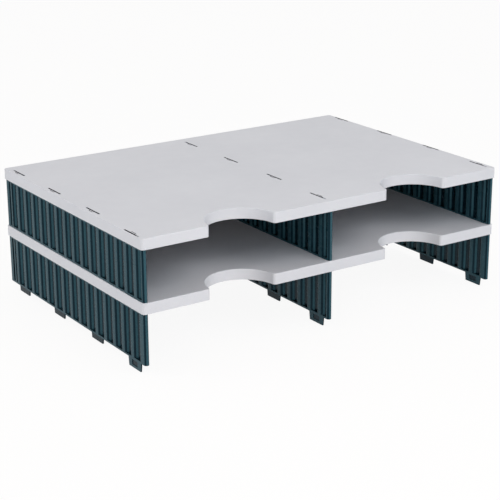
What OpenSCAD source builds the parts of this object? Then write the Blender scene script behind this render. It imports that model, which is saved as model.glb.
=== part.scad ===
// Sorting unit with two levels of two bays, made of moulded panels that plug together.
// Two identical shelves lie on six identical fluted walls, and a fluted panel closes
// the back of each bay. The front of each bay is open.
// The origin is the middle of the footprint, on the plane that the lowest tabs stand on.
// +X is to the right, +Y to the back, +Z up. Lengths are in millimetres.

/* [Overall] */
// Width of a shelf, across both bays
body_w = 485; // [420:1:560]
// Depth of a shelf, from its front edge to its back edge
body_d = 331; // [300:1:360]
// Clear height of a level, which is the height of a wall
level_h = 58; // [45:1:80]

/* [Shelves] */
// Height of a shelf's edge
shelf_t = 12.5; // [11:0.5:16]
// Thickness of a shelf's top skin
skin_t = 2.2; // [1.8:0.1:3]
// Thickness of the rim round a shelf
rim_t = 2.2; // [1.6:0.1:3]
// Radius of a shelf's outer corners, seen from above
corner_r = 3.5; // [3.2:0.1:8]
// Thickness of the ribs under a shelf
rib_t = 1.4; // [1:0.1:2]
// Height of the ribs under a shelf
rib_h = 3.5; // [2.5:0.5:6]
// Thickness of the two ribs that a wall's top edge lies on
seat_t = 2; // [1.6:0.1:2.4]
// Thickness of the walls round a socket
socket_t = 1; // [0.8:0.1:1.2]

/* [Finger notches] */
// Radius of the half round notch in the front of each bay
notch_r = 41; // [25:1:48]
// Radius of the rounding at each side of a notch's mouth
mouth_r = 4; // [3.5:0.5:8]

/* [Walls] */
// Thickness of a wall
wall_t = 6; // [5.6:0.1:7]
// Step from a shelf's side to the outer face of a wall
side_step = 1.2; // [0.8:0.1:2]
// Step from a shelf's front or back edge to a wall's end
end_step = 1.3; // [1:0.1:3]
// Height of the plain rail along the top and bottom of a wall
rail_h = 2; // [1.8:0.1:4]

/* [Flutes] */
// Distance from one flute to the next
flute_pitch = 20; // [18:0.5:24]
// Width of the flat crest between two flutes
crest_w = 6.5; // [5:0.5:7]
// Width of the sloping side of a flute
slope_w = 4.4; // [4:0.1:5]
// Thickness of the fluted sheet
sheet_t = 2.6; // [1.6:0.1:3]
// Radius of the outer side of each bend in the fluted sheet
bend_r = 3.8; // [0.5:0.1:4]
// Distance from a wall's end to its first crest, less half of the wall's thickness
crest_start = 0.9; // [0:0.1:2]

/* [Tabs and slots] */
// Length of a tab along the wall's edge
tab_w = 27; // [20:1:30]
// Thickness of a tab
tab_t = 1.6; // [1.2:0.1:1.8]
// How much each side of a tab draws in towards its tip
tab_taper = 1.2; // [0.5:0.1:2]
// Distance from a shelf's front edge to the middle of the first tab
tab_front = 24; // [20:1:30]
// Distance from a shelf's back edge to the middle of the last tab
tab_back = 29.5; // [29:0.5:40]
// Clearance between the ends of a slot and its tab
slot_end_gap = 1.5; // [0.5:0.1:2]
// Clearance between each face of a tab and its slot
slot_gap = 0.2; // [0.1:0.05:0.3]
// Clearance between the tip of a tab and the bottom of its pocket
tip_gap = 0.3; // [0.2:0.1:1]
// Width of the recess in a tab's outer face
catch_w = 11.5; // [6:0.5:14]
// Height of the recess in a tab's outer face
catch_h = 6; // [4:0.5:6.5]
// Depth of the recess in a tab's outer face
catch_d = 0.6; // [0.3:0.1:0.8]
// Distance from a wall's edge to the recess in a tab's outer face
catch_top = 1; // [0.5:0.1:1.5]

/* [Snap fingers] */
// Length of the finger beside a slot
finger_l = 9; // [6:0.5:12]
// Thickness of the finger beside a slot
finger_t = 1.4; // [1:0.1:1.6]
// Width of the cut round the finger
finger_cut = 0.8; // [0.6:0.1:1]

/* [Back panels] */
// Thickness of a back panel
back_t = 5; // [4.4:0.1:6]
// Width of the groove in a wall that holds a back panel
groove_w = 4; // [3.4:0.1:4.2]
// Depth of the groove in a wall that holds a back panel
groove_d = 1.9; // [1.4:0.1:2.2]
// Length of a wall behind the groove
post_l = 8.7; // [8:0.1:12]
// Width of the plain strip in front of the groove
strip_w = 3; // [2:0.5:4]
// Running clearance of a back panel in its bay
back_gap = 0.3; // [0.2:0.1:0.5]

/* [Colours] */
// Colour of the shelves
shelf_colour = [0.83, 0.83, 0.85];
// Colour of the walls and back panels
wall_colour = [0.16, 0.26, 0.31];

/* [Hidden] */
$fn = 96;

// Overrun of a cut past the face that it opens
over = 0.5;
// Number of tabs on each long edge of a wall, and of ribs under each bay
tab_n = 4;
rib_n = 3;
// Number of steps in the arc of a notch, and in each arc of its mouth
notch_n = 40;
mouth_n = 6;
// Number of steps in the outer side of a bend in a fluted sheet
bend_n = 2;
// Share of a rim, skin, rail or strip that what springs from it reaches into
root_share = 0.5;
// Share of the skin that is left under the cut round a finger
finger_root_share = 0.2;

tab_len = shelf_t - skin_t - tip_gap;
wall_l = body_d - 2 * end_step;
wall_x = body_w / 2 - side_step - wall_t / 2;
bay_x = wall_x / 2;
bay_w = wall_x - wall_t;
tab_pitch = (body_d - tab_front - tab_back) / (tab_n - 1);
tab_x = (wall_t - tab_t) / 2;
slot_w = tab_t + 2 * slot_gap;
slot_l = tab_w + 2 * slot_end_gap;
groove_y = wall_l / 2 - post_l - groove_w / 2;
lower_z = tab_len;
middle_z = lower_z + level_h;
upper_z = middle_z + shelf_t;
top_z = upper_z + level_h;

function tab_y(i) = -body_d / 2 + tab_front + i * tab_pitch;
// The first tab is on the left face of a wall, and the others are on its right face
function on_left(i) = i == 0 ? 1 : 0;

// Outline of a shelf, drawn in by a step on every side
module plan(step) {
    difference() {
        union() {
            square([body_w - 2 * corner_r, body_d - 2 * step], center = true);
            square([body_w - 2 * step, body_d - 2 * corner_r], center = true);
            for (sx = [-1, 1], sy = [-1, 1])
                translate([sx * (body_w / 2 - corner_r), sy * (body_d / 2 - corner_r)])
                    circle(corner_r - step);
        }
        for (side = [-1, 1]) translate([side * bay_x, -body_d / 2]) notch(step);
    }
}

// Points along an arc in n steps, up to the one before the last
function arc(centre, r, from, to, n) = [
    for (i = [0 : n - 1]) let (a = from + (to - from) * i / n) centre + r * [cos(a), sin(a)]
];

// Half round notch with a rounded mouth. The mouth's arcs touch the front edge and the
// notch, so their middles lie one mouth radius in from the front.
module notch(step) {
    rise = asin(mouth_r / (notch_r + mouth_r));
    far_x = (notch_r + mouth_r) * cos(rise);
    r = mouth_r - step;
    polygon([
        [far_x, -over], each arc([far_x, mouth_r], r, 270, 180 + rise, mouth_n),
        each arc([0, 0], notch_r + step, rise, 180 - rise, notch_n),
        each arc([-far_x, mouth_r], r, -rise, -90, mouth_n), [-far_x, step], [-far_x, -over]
    ]);
}

// Shelf: a skin with a rim that follows its outline, ribs and a row of sockets per wall
module shelf() {
    difference() {
        union() {
            difference() {
                linear_extrude(shelf_t) plan(0);
                translate([0, 0, -over])
                    linear_extrude(shelf_t - skin_t + over) plan(rim_t);
            }
            underside();
        }
        for (side = [-1, 0, 1], i = [0 : tab_n - 1])
            translate([side * wall_x, tab_y(i), 0]) mirror([on_left(i), 0, 0]) slot();
    }
}

// Ribs and seats under the skin, from rim to rim, cut clear of the notches
module underside() {
    root = rim_t * root_share;
    inner_w = body_w - 2 * root;
    inner_d = body_d - 2 * root;
    rib_z = shelf_t - skin_t - rib_h;
    rib_top = rib_h + skin_t * root_share;
    difference() {
        intersection() {
            union() {
                translate([0, 0, rib_z]) linear_extrude(rib_top)
                    for (i = [1 : rib_n]) {
                        translate([0, (i / (rib_n + 1) - 1 / 2) * body_d])
                            square([body_w, rib_t], center = true);
                        for (side = [-1, 1])
                            translate([side * i / (rib_n + 1) * wall_x, 0])
                                square([rib_t, body_d], center = true);
                    }
                for (side = [-1, 0, 1]) translate([side * wall_x, 0, 0]) seat();
            }
            translate([-inner_w / 2, -inner_d / 2, -over])
                cube([inner_w, inner_d, shelf_t]);
        }
        for (side = [-1, 1])
            translate([side * bay_x, -body_d / 2, -over])
                cylinder(r = notch_r + root, h = shelf_t + over);
    }
}

// The bar that a wall's top edge lies on, hollow between its sockets
module seat() {
    seat_w = wall_t + 2 * (slot_gap + socket_t);
    hollow_w = seat_w - 2 * seat_t;
    hollow_l = tab_pitch - slot_l - 2 * socket_t;
    difference() {
        translate([-seat_w / 2, -body_d / 2, 0])
            cube([seat_w, body_d, shelf_t - skin_t * root_share]);
        for (i = [0 : tab_n - 2])
            translate([-hollow_w / 2, tab_y(i) + (tab_pitch - hollow_l) / 2, -over])
                cube([hollow_w, hollow_l, shelf_t - skin_t + over]);
    }
}

// Slot for a tab from above, the cut round the snap finger beside it, and the pocket
// for a tab from below, drawn for a tab on the right face of a wall
module slot() {
    finger_x = tab_x - slot_w / 2 - finger_t - finger_cut;
    finger_z = shelf_t - skin_t * (1 - finger_root_share);
    translate([tab_x - slot_w / 2, -slot_l / 2, -over])
        cube([slot_w, slot_l, shelf_t + 2 * over]);
    translate([-tab_x - slot_w / 2, -slot_l / 2, -over])
        cube([slot_w, slot_l, shelf_t - skin_t + over]);
    translate([finger_x, -finger_l / 2, finger_z])
        cube([finger_cut, finger_l, skin_t]);
    for (y = [-finger_l / 2, finger_l / 2 - finger_cut])
        translate([finger_x, y, finger_z])
            cube([finger_cut + finger_t + slot_w / 2, finger_cut, skin_t]);
}

function unit(v) = v / norm(v);

// Points of the arc that rounds the corner b between a and c
function rounded(a, b, c) =
    let (
        u = unit(a - b), w = unit(c - b), half = acos(u * w) / 2, turn = 180 - 2 * half,
        middle = b + unit(u + w) * bend_r / sin(half), reach = bend_r / tan(half),
        first = b + u * reach - middle, last = b + w * reach - middle
    )
    [for (i = [0 : bend_n])
        middle + (first * sin(turn * (1 - i / bend_n)) + last * sin(turn * i / bend_n)) / sin(turn)];

// Cross section of a fluted sheet from y = 0 to y = len, with an overall thickness t.
// Its left side is plain up to the first crest, which begins at y = start. The outer side
// of each bend is rounded.
module flutes(len, t, start) {
    crest_x = t / 2;
    trough_x = t / 2 - sheet_t;
    // How far the corners of the two faces lie apart along the sheet
    shift = sheet_t * tan(atan2(t - sheet_t, slope_w) / 2);
    n = ceil(len / flute_pitch);
    left = [[-crest_x, 0], for (i = [0 : n]) let (
        y = start + i * flute_pitch,
        crest = [-crest_x, y + crest_w],
        trough = [trough_x, y + crest_w + slope_w],
        trough_end = [trough_x, y + flute_pitch - slope_w],
        next = [-crest_x, y + flute_pitch]
    ) each concat(
        rounded(crest - [0, crest_w], crest, trough), [trough, trough_end],
        rounded(trough_end, next, next + [0, crest_w])
    )];
    right = [[-trough_x, 0], for (i = [0 : n]) let (
        y = start + i * flute_pitch,
        crest = [-trough_x, y + crest_w - shift],
        trough = [crest_x, y + crest_w + slope_w - shift],
        trough_end = [crest_x, y + flute_pitch - slope_w + shift],
        next = [-trough_x, y + flute_pitch + shift]
    ) each concat(
        [crest], rounded(crest, trough, trough_end), rounded(trough, trough_end, next), [next]
    )];
    intersection() {
        polygon(concat(left, [for (i = [len(right) - 1 : -1 : 0]) right[i]]));
        translate([-t, 0]) square([2 * t, len]);
    }
}

// Wall: a fluted sheet between two rails, with round ends, a groove on each face near
// the back, and tabs on both long edges
module wall() {
    end_y = wall_l / 2 - wall_t / 2;
    strip_y = groove_y - groove_w / 2 - strip_w;
    difference() {
        union() {
            translate([0, -end_y, 0])
                linear_extrude(level_h)
                    flutes(strip_y + end_y + strip_w * root_share, wall_t, crest_start);
            translate([-wall_t / 2, strip_y, 0])
                cube([wall_t, end_y - strip_y, level_h]);
            for (side = [-1, 1])
                translate([0, side * end_y, 0]) cylinder(d = wall_t, h = level_h);
            for (z = [0, level_h - rail_h])
                translate([-wall_t / 2, -end_y, z]) cube([wall_t, 2 * end_y, rail_h]);
        }
        for (side = [-1, 1])
            translate([side * wall_t / 2, groove_y, level_h / 2])
                cube([2 * groove_d, groove_w, level_h - 2 * rail_h], center = true);
    }
    for (edge = [0, 1], i = [0 : tab_n - 1])
        translate([0, tab_y(i), edge * level_h])
            rotate([0, edge * 180, 0]) mirror([on_left(i), 0, 0]) tab();
}

// Tab below the bottom edge of a wall, on its right face
module tab() {
    root = rail_h * root_share;
    difference() {
        translate([tab_x - tab_t / 2, 0, 0]) rotate([90, 0, 90]) linear_extrude(tab_t)
            polygon([
                [-tab_w / 2, root], [-tab_w / 2, 0],
                [-tab_w / 2 + tab_taper, -tab_len], [tab_w / 2 - tab_taper, -tab_len],
                [tab_w / 2, 0], [tab_w / 2, root]
            ]);
        translate([wall_t / 2 - catch_d, -catch_w / 2, -catch_top - catch_h])
            cube([2 * catch_d, catch_w, catch_h]);
    }
}

// A wall is the same with either long edge up. Turned over, it has its crests where it
// had its flutes.
module placed_wall(side, z, turned) {
    color(wall_colour)
        translate([side * wall_x, 0, z + turned * level_h]) rotate([0, turned * 180, 0]) wall();
}

// Back panel: a fluted sheet in a frame, with a tongue at each side. The tongues stand
// on the rails of the walls, at the bottom of the grooves.
module back_panel() {
    panel_w = bay_w - 2 * back_gap;
    panel_h = level_h - 2 * back_gap;
    tongue_t = groove_w - 2 * back_gap;
    tongue_l = groove_d - back_gap;
    tongue_h = level_h - 2 * rail_h - back_gap;
    root = strip_w * root_share;
    translate([-panel_w / 2 + root, 0, back_gap])
        rotate(-90) linear_extrude(panel_h) flutes(panel_w - 2 * root, back_t, 0);
    for (z = [0, panel_h - rail_h])
        translate([-panel_w / 2, -back_t / 2, back_gap + z]) cube([panel_w, back_t, rail_h]);
    for (side = [-1, 1]) {
        translate([side * (panel_w - strip_w) / 2, 0, back_gap + panel_h / 2])
            cube([strip_w, back_t, panel_h], center = true);
        translate([side * ((bay_w + tongue_l - root) / 2), 0, rail_h + tongue_h / 2])
            cube([tongue_l + root, tongue_t, tongue_h], center = true);
    }
}

module placed_back(side, z) {
    color(wall_colour) translate([side * bay_x, groove_y, z]) back_panel();
}

module top_shelf() color(shelf_colour) translate([0, 0, top_z]) shelf();
module middle_shelf() color(shelf_colour) translate([0, 0, middle_z]) shelf();
module upper_left_wall() placed_wall(-1, upper_z, 1);
module upper_middle_wall() placed_wall(0, upper_z, 1);
module upper_right_wall() placed_wall(1, upper_z, 1);
module lower_left_wall() placed_wall(-1, lower_z, 0);
module lower_middle_wall() placed_wall(0, lower_z, 1);
module lower_right_wall() placed_wall(1, lower_z, 0);
module upper_left_back() placed_back(-1, upper_z);
module upper_right_back() placed_back(1, upper_z);
module lower_left_back() placed_back(-1, lower_z);
module lower_right_back() placed_back(1, lower_z);

top_shelf();
middle_shelf();
upper_left_wall();
upper_middle_wall();
upper_right_wall();
lower_left_wall();
lower_middle_wall();
lower_right_wall();
upper_left_back();
upper_right_back();
lower_left_back();
lower_right_back();
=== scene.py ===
import math

import bmesh
import bpy
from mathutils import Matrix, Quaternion, Vector


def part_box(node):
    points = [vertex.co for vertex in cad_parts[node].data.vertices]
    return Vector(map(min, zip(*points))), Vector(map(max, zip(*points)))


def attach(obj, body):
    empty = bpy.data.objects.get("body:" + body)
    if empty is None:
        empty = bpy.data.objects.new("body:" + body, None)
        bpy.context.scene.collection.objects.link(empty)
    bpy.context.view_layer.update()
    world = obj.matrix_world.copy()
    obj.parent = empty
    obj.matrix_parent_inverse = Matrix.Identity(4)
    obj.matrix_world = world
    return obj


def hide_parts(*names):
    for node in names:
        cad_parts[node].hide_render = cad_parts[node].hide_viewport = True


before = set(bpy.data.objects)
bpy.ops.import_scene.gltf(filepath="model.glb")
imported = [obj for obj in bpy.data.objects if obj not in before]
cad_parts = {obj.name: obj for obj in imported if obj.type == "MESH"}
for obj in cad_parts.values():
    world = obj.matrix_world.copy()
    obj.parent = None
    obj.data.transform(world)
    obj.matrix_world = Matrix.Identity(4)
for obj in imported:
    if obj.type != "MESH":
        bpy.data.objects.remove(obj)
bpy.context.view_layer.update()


# Shelves. Two large mouldings of pale grey plastic, each a flat skin with a turned-down
# rim, half round finger notches and rows of slots. Their upper outline is rounded, the
# slots and the lower outline are eased a little, and a fine grain covers the skin.
WELD = 2e-6
FLAT = math.radians(0.5)
CREASE = math.radians(28)
SHELF_SETBACK = 0.0008
SHELF_EASE = 0.00011
WALL_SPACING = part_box("upper_middle_wall")[1][0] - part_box("upper_left_wall")[1][0]
SLOT_REACH = 0.006
SLOT_OUTER_X = WALL_SPACING + 0.0033
SLOT_BACK_Y = 0.15
FLAT_NORMAL_Z = 0.8
# Painted shade: a dark grey laid on the upright faces of the slots and finger cuts, where shade
# falls.
PAINTED_SLOT_SHADE = (0.05, 0.055, 0.065, 1)
NOISE_LOW, NOISE_HIGH = 0.3, 0.7


def moulded_solid(node):
    """The node's own solid as one welded mesh whose flat faces are whole."""
    solid = bmesh.new()
    solid.from_mesh(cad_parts[node].data)
    bmesh.ops.remove_doubles(solid, verts=solid.verts, dist=WELD)
    bmesh.ops.dissolve_limit(
        solid, angle_limit=FLAT, use_dissolve_boundaries=False,
        verts=solid.verts, edges=solid.edges, delimit=set(),
    )
    return solid


def convex_edges(solid):
    """The sharp edges that stand out, without those of hollows."""
    return [e for e in solid.edges if e.is_manifold and e.calc_face_angle_signed() > CREASE]


def chains(edges):
    """The edges in groups that hang together, the longest group first."""
    left, groups = dict.fromkeys(edges), []
    while left:
        group, ends = [], [left.popitem()[0]]
        while ends:
            edge = ends.pop()
            group.append(edge)
            for other in [e for v in edge.verts for e in v.link_edges if e in left]:
                del left[other]
                ends.append(other)
        groups.append(group)
    return sorted(groups, key=lambda g: -sum(e.calc_length() for e in g))


def round_off(solid, edges, setback, steps):
    """Rounds the edges from this far off them, or from nearer where there is less room."""
    bmesh.ops.bevel(
        solid, geom=edges, offset=setback, offset_type="OFFSET", affect="EDGES",
        segments=steps, profile=0.5, material=-1, clamp_overlap=True, loop_slide=True,
    )


def moulding(solid, name, node, plastic):
    """Turns the mesh, with its double points merged, into the piece that stands for the node."""
    bmesh.ops.remove_doubles(solid, verts=solid.verts, dist=WELD)
    data = bpy.data.meshes.new(name)
    solid.to_mesh(data)
    solid.free()
    data.materials.append(plastic)
    data.shade_smooth()
    data.set_sharp_from_angle(angle=CREASE)
    piece = bpy.data.objects.new(name, data)
    bpy.context.scene.collection.objects.link(piece)
    normals = piece.modifiers.new("normals", "WEIGHTED_NORMAL")
    normals.keep_sharp = True
    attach(piece, "root")
    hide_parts(node)


def new_plastic(name):
    """A plastic's material, its node tree, its shader and its object coordinates."""
    plastic = bpy.data.materials.new(name)
    plastic.use_nodes = True
    tree = plastic.node_tree
    place = tree.nodes.new("ShaderNodeTexCoord")
    return plastic, tree, tree.nodes["Principled BSDF"], place.outputs["Object"]


def noise(tree, place, scale, detail):
    """Noise at a scale in waves per metre."""
    pattern = tree.nodes.new("ShaderNodeTexNoise")
    pattern.inputs["Scale"].default_value = scale
    pattern.inputs["Detail"].default_value = detail
    tree.links.new(place, pattern.inputs["Vector"])
    return pattern.outputs["Fac"]


def between(tree, fac, low, high):
    """A number that runs between two values as the pattern does."""
    span = tree.nodes.new("ShaderNodeMapRange")
    span.inputs["From Min"].default_value = NOISE_LOW
    span.inputs["From Max"].default_value = NOISE_HIGH
    span.inputs["To Min"].default_value = low
    span.inputs["To Max"].default_value = high
    tree.links.new(fac, span.inputs["Value"])
    return span.outputs["Result"]


def tint(tree, fac, first, second):
    """A colour that runs between two close ones as the pattern does."""
    ramp = tree.nodes.new("ShaderNodeValToRGB")
    ramp.color_ramp.elements[0].position = NOISE_LOW
    ramp.color_ramp.elements[0].color = (*first, 1)
    ramp.color_ramp.elements[1].position = NOISE_HIGH
    ramp.color_ramp.elements[1].color = (*second, 1)
    tree.links.new(fac, ramp.inputs["Fac"])
    return ramp.outputs["Color"]


def grain(tree, shader, height, depth, strength):
    """Fine raised grain from the surface of the mould."""
    bump = tree.nodes.new("ShaderNodeBump")
    bump.inputs["Distance"].default_value = depth
    bump.inputs["Strength"].default_value = strength
    tree.links.new(height, bump.inputs["Height"])
    tree.links.new(bump.outputs["Normal"], shader.inputs["Normal"])


def axis(tree, vector, letter):
    """One part of a vector."""
    parts = tree.nodes.new("ShaderNodeSeparateXYZ")
    tree.links.new(vector, parts.inputs["Vector"])
    return parts.outputs[letter]


def maths(tree, operation, first, second):
    """The result of one operation, whose second value is a number or an output."""
    step = tree.nodes.new("ShaderNodeMath")
    step.operation = operation
    tree.links.new(first, step.inputs[0])
    if isinstance(second, float):
        step.inputs[1].default_value = second
    else:
        tree.links.new(second, step.inputs[1])
    return step.outputs["Value"]


def near(tree, value, middle, reach):
    """1 where the value is within reach of the middle."""
    mask = maths(tree, "COMPARE", value, middle)
    mask.node.inputs[2].default_value = reach
    return mask


def blend(tree, fac, first, second):
    """A colour between a first output and a second output or plain colour."""
    mix = tree.nodes.new("ShaderNodeMix")
    mix.data_type = "RGBA"
    tree.links.new(fac, mix.inputs["Factor"])
    tree.links.new(first, mix.inputs["A"])
    if isinstance(second, tuple):
        mix.inputs["B"].default_value = second
    else:
        tree.links.new(second, mix.inputs["B"])
    return mix.outputs["Result"]


def in_slots(tree, place, normal):
    """1 on the upright faces of the slots and of the finger cuts beside them, where shade is
    painted.
    """
    x, y = axis(tree, place, "X"), axis(tree, place, "Y")
    off = maths(tree, "PINGPONG", x, WALL_SPACING / 2)
    mask = maths(tree, "LESS_THAN", off, SLOT_REACH)
    limits = ((x, SLOT_OUTER_X), (y, SLOT_BACK_Y), (axis(tree, normal, "Z"), FLAT_NORMAL_Z))
    for value, limit in limits:
        mask = maths(tree, "MULTIPLY", mask, near(tree, value, 0.0, limit))
    return mask


def shelf_plastic():
    """Pale grey plastic with a fine even grain and a soft sheen, with painted shade on the
    upright faces of its slots.
    """
    plastic, tree, shader, place = new_plastic("shelf_plastic")
    clouds = tint(
        tree, noise(tree, place, scale=9, detail=2), (0.60, 0.598, 0.628), (0.63, 0.628, 0.656)
    )
    slots = in_slots(tree, place, place.node.outputs["Normal"])
    # The upright faces in the slots take the painted shade instead of the plastic's own colour.
    tree.links.new(blend(tree, slots, clouds, PAINTED_SLOT_SHADE), shader.inputs["Base Color"])
    sheen = between(tree, noise(tree, place, scale=60, detail=3), 0.36, 0.44)
    tree.links.new(sheen, shader.inputs["Roughness"])
    grain(tree, shader, noise(tree, place, scale=2600, detail=2), depth=0.00004, strength=0.35)
    return plastic


SHELF_PLASTIC = shelf_plastic()
for node in ("top_shelf", "middle_shelf"):
    low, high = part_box(node)
    solid = moulded_solid(node)
    edges = convex_edges(solid)
    upper = chains([e for e in edges if all(v.co.z > high[2] - WELD for v in e.verts)])
    lower = chains([e for e in edges if all(v.co.z < low[2] + WELD for v in e.verts)])
    small = [e for group in upper[1:] + lower[:1] for e in group]
    round_off(solid, upper[0], SHELF_SETBACK, steps=4)
    round_off(solid, [e for e in small if e.is_valid], SHELF_EASE, steps=2)
    moulding(solid, node + "_moulding", node, SHELF_PLASTIC)


# Walls. Six fluted panels of dark blue-green plastic, moulded with a plain rail along the
# top and bottom, round ends and tabs that plug into the shelves. The hollow side of each
# bend is rounded, and the crests and the feet of the front-facing flanks carry a paler
# painted highlight.
HOLLOW_SETBACK = 0.00094
BEND_LENGTH = 0.04
SHARPEST_BEND = math.radians(60)
UPRIGHT = 0.99
# Painted highlight: a paler tone on the crests and on the feet of the front-facing flanks.
CREST_OFF = 0.003
CREST_DEPTH = 0.0002
CREST_HIGHLIGHT_SHARE = 0.8
FOOT_OFF = 0.0014
FORWARD_NORMAL_Y = -0.4
DEEP_DARK, DEEP_LIGHT = (0.001, 0.010, 0.017), (0.002, 0.014, 0.022)
PAINTED_HIGHLIGHT_DIM, PAINTED_HIGHLIGHT_BRIGHT = (0.023, 0.068, 0.087), (0.030, 0.082, 0.102)


def painted_highlights(tree, place, normal):
    """How much painted highlight lies on the crests, and on the foot of the flanks that face the
    front.
    """
    off = maths(tree, "PINGPONG", axis(tree, place, "X"), WALL_SPACING / 2)
    crest = maths(tree, "MULTIPLY", near(tree, off, CREST_OFF, CREST_DEPTH), CREST_HIGHLIGHT_SHARE)
    foot = maths(tree, "LESS_THAN", off, FOOT_OFF)
    forward = maths(tree, "LESS_THAN", axis(tree, normal, "Y"), FORWARD_NORMAL_Y)
    return maths(tree, "ADD", crest, maths(tree, "MULTIPLY", foot, forward))


def wall_plastic():
    """Very dark blue-green plastic with a satin gloss, a faint grain and painted highlights."""
    plastic, tree, shader, place = new_plastic("wall_plastic")
    shader.inputs["Specular IOR Level"].default_value = 0.14
    shader.inputs["Specular Tint"].default_value = (0.6, 0.86, 1, 1)
    clouds = noise(tree, place, scale=14, detail=3)
    deep = tint(tree, clouds, DEEP_DARK, DEEP_LIGHT)
    pale = tint(tree, clouds, PAINTED_HIGHLIGHT_DIM, PAINTED_HIGHLIGHT_BRIGHT)
    # The crests and the front-facing feet take the paler painted highlight.
    color = blend(tree, painted_highlights(tree, place, place.node.outputs["Normal"]), deep, pale)
    tree.links.new(color, shader.inputs["Base Color"])
    sheen = between(tree, noise(tree, place, scale=90, detail=3), 0.24, 0.30)
    tree.links.new(sheen, shader.inputs["Roughness"])
    grain(tree, shader, noise(tree, place, scale=1900, detail=2), depth=0.00003, strength=0.3)
    return plastic


def hollow_bends(solid):
    """The upright edges at the bottom of the flutes."""
    low = min(v.co.z for v in solid.verts)
    return [
        e for e in solid.edges
        if e.is_manifold and -SHARPEST_BEND < e.calc_face_angle_signed() < -CREASE
        and abs((e.verts[1].co - e.verts[0].co).normalized().z) > UPRIGHT
        and e.calc_length() > BEND_LENGTH and min(v.co.z for v in e.verts) > low
    ]


WALL_PLASTIC = wall_plastic()
for node in (
    "upper_left_wall", "upper_middle_wall", "upper_right_wall",
    "lower_left_wall", "lower_middle_wall", "lower_right_wall",
):
    solid = moulded_solid(node)
    round_off(solid, hollow_bends(solid), HOLLOW_SETBACK, steps=5)
    moulding(solid, node + "_moulding", node, WALL_PLASTIC)


# Back panels. Four fluted panels of the same dark plastic, which stand in the grooves of
# the walls and close the bays at the back. Their edges are eased a little.
BACK_EASE = 0.00012
for node in ("upper_left_back", "upper_right_back", "lower_left_back", "lower_right_back"):
    solid = moulded_solid(node)
    round_off(solid, convex_edges(solid), BACK_EASE, steps=2)
    moulding(solid, node + "_moulding", node, WALL_PLASTIC)


# Studio. A wide floor and a surround, both shown nearly white, and soft lamps from above,
# the front, low at the front and the left. The surround's light runs from cool at the
# horizon to warm above, as in a shaded studio.
FLOOR_SIZE = 8
FLOOR_GLOW = 0.92
SURROUND_LIGHT = 0.64
COOL, COOL_HEIGHT = (0.60, 0.87, 1.04, 1), 0.4
WARM, WARM_HEIGHT = (1.16, 1.01, 0.94, 1), 0.8


def shows_white(tree):
    """1 for the rays that see the background, directly or in gloss or glass."""
    ray = tree.nodes.new("ShaderNodeLightPath")
    seen = ray.outputs["Is Camera Ray"]
    for kind in ("Is Glossy Ray", "Is Transmission Ray"):
        seen = maths(tree, "MAXIMUM", seen, ray.outputs[kind])
    return seen


def blend_shaders(tree, fac, first, second):
    """The mix of two shaders by a factor."""
    mix = tree.nodes.new("ShaderNodeMixShader")
    tree.links.new(fac, mix.inputs["Fac"])
    tree.links.new(first, mix.inputs[1])
    tree.links.new(second, mix.inputs[2])
    return mix.outputs["Shader"]


def add_floor():
    """A matt white floor that glows a little for the rays that see it."""
    paper = bpy.data.materials.new("floor_paper")
    paper.use_nodes = True
    tree = paper.node_tree
    tree.nodes.clear()
    matt = tree.nodes.new("ShaderNodeBsdfDiffuse")
    matt.inputs["Color"].default_value = (0.97, 0.92, 0.89, 1)
    glow = tree.nodes.new("ShaderNodeEmission")
    share = maths(tree, "MULTIPLY", shows_white(tree), FLOOR_GLOW)
    surface = blend_shaders(tree, share, matt.outputs["BSDF"], glow.outputs["Emission"])
    out = tree.nodes.new("ShaderNodeOutputMaterial")
    tree.links.new(surface, out.inputs["Surface"])
    sheet = bmesh.new()
    bmesh.ops.create_grid(sheet, x_segments=8, y_segments=8, size=FLOOR_SIZE / 2)
    data = bpy.data.meshes.new("floor")
    sheet.to_mesh(data)
    sheet.free()
    data.materials.append(paper)
    floor = bpy.data.objects.new("floor", data)
    bpy.context.scene.collection.objects.link(floor)


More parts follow.
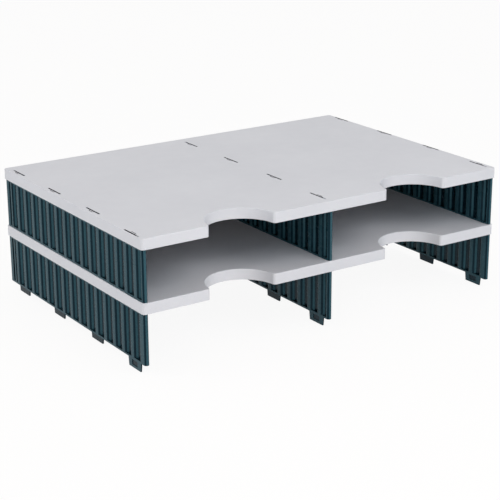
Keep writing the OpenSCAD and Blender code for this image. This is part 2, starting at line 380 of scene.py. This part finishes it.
def light_surround(strength):
    """A white surround that lights the object at a lower strength than it shows."""
    world = bpy.data.worlds.new("surround")
    world.use_nodes = True
    tree = world.node_tree
    tree.nodes.clear()
    way = tree.nodes.new("ShaderNodeTexCoord")
    sky = tree.nodes.new("ShaderNodeValToRGB")
    sky.color_ramp.elements[0].color = COOL
    sky.color_ramp.elements[0].position = COOL_HEIGHT
    sky.color_ramp.elements[1].position = WARM_HEIGHT
    sky.color_ramp.elements[1].color = WARM
    tree.links.new(axis(tree, way.outputs["Generated"], "Z"), sky.inputs["Fac"])
    light = tree.nodes.new("ShaderNodeBackground")
    light.inputs["Strength"].default_value = strength
    tree.links.new(sky.outputs["Color"], light.inputs["Color"])
    shown = tree.nodes.new("ShaderNodeBackground")
    shown.inputs["Color"].default_value = (1, 1, 1, 1)
    surface = blend_shaders(
        tree, shows_white(tree), light.outputs["Background"], shown.outputs["Background"]
    )
    out = tree.nodes.new("ShaderNodeOutputWorld")
    tree.links.new(surface, out.inputs["Surface"])
    bpy.context.scene.world = world


def add_lamp(name, place, aim, width, height, power, color):
    """A soft rectangular lamp that points at a spot."""
    data = bpy.data.lights.new(name, "AREA")
    data.shape = "RECTANGLE"
    data.size = width
    data.size_y = height
    data.energy = power
    data.color = color
    lamp = bpy.data.objects.new(name, data)
    lamp.location = place
    lamp.rotation_euler = (Vector(place) - Vector(aim)).to_track_quat("Z", "Y").to_euler()
    bpy.context.scene.collection.objects.link(lamp)


add_floor()
light_surround(SURROUND_LIGHT)
add_lamp(
    "top_lamp", place=(-0.1, 0.2, 2.0), aim=(0, 0, 0.1), width=1.8, height=1.8,
    power=0.5, color=(1, 0.97, 0.95),
)
add_lamp(
    "front_lamp", place=(0.2, -1.4, 1.5), aim=(0, 0, 0.08), width=1.6, height=1.0,
    power=11.5, color=(0.93, 0.97, 0.99),
)
add_lamp(
    "low_lamp", place=(-0.55, -1.6, 0.34), aim=(0, 0, 0.08), width=1.0, height=0.5,
    power=6.5, color=(1, 0.91, 0.84),
)
add_lamp(
    "left_lamp", place=(-1.9, 0.9, 0.8), aim=(0, 0, 0.08), width=1.4, height=1.0,
    power=11, color=(1, 0.95, 0.91),
)


# Camera. It stands to the left of the front and looks down at the station, where the
# photographer's camera stood, with the same field of view.
AZIMUTH = math.radians(-33.69)
ELEVATION = math.radians(18.55)
ROLL = math.radians(-0.26)
DISTANCE = 1.7861
AIM = Vector((0.0006, 0, 0.0476))
FOCAL_MM = 105.84

toward = Vector((
    math.sin(AZIMUTH) * math.cos(ELEVATION), -math.cos(AZIMUTH) * math.cos(ELEVATION),
    math.sin(ELEVATION),
))
camera = bpy.data.objects.new("camera", bpy.data.cameras.new("camera"))
camera.data.lens = FOCAL_MM
camera.location = AIM + toward * DISTANCE
turn = toward.to_track_quat("Z", "Y") @ Quaternion((0, 0, 1), ROLL)
camera.rotation_euler = turn.to_euler()
bpy.context.scene.collection.objects.link(camera)
bpy.context.scene.camera = camera
bpy.context.scene.view_settings.view_transform = "Standard"
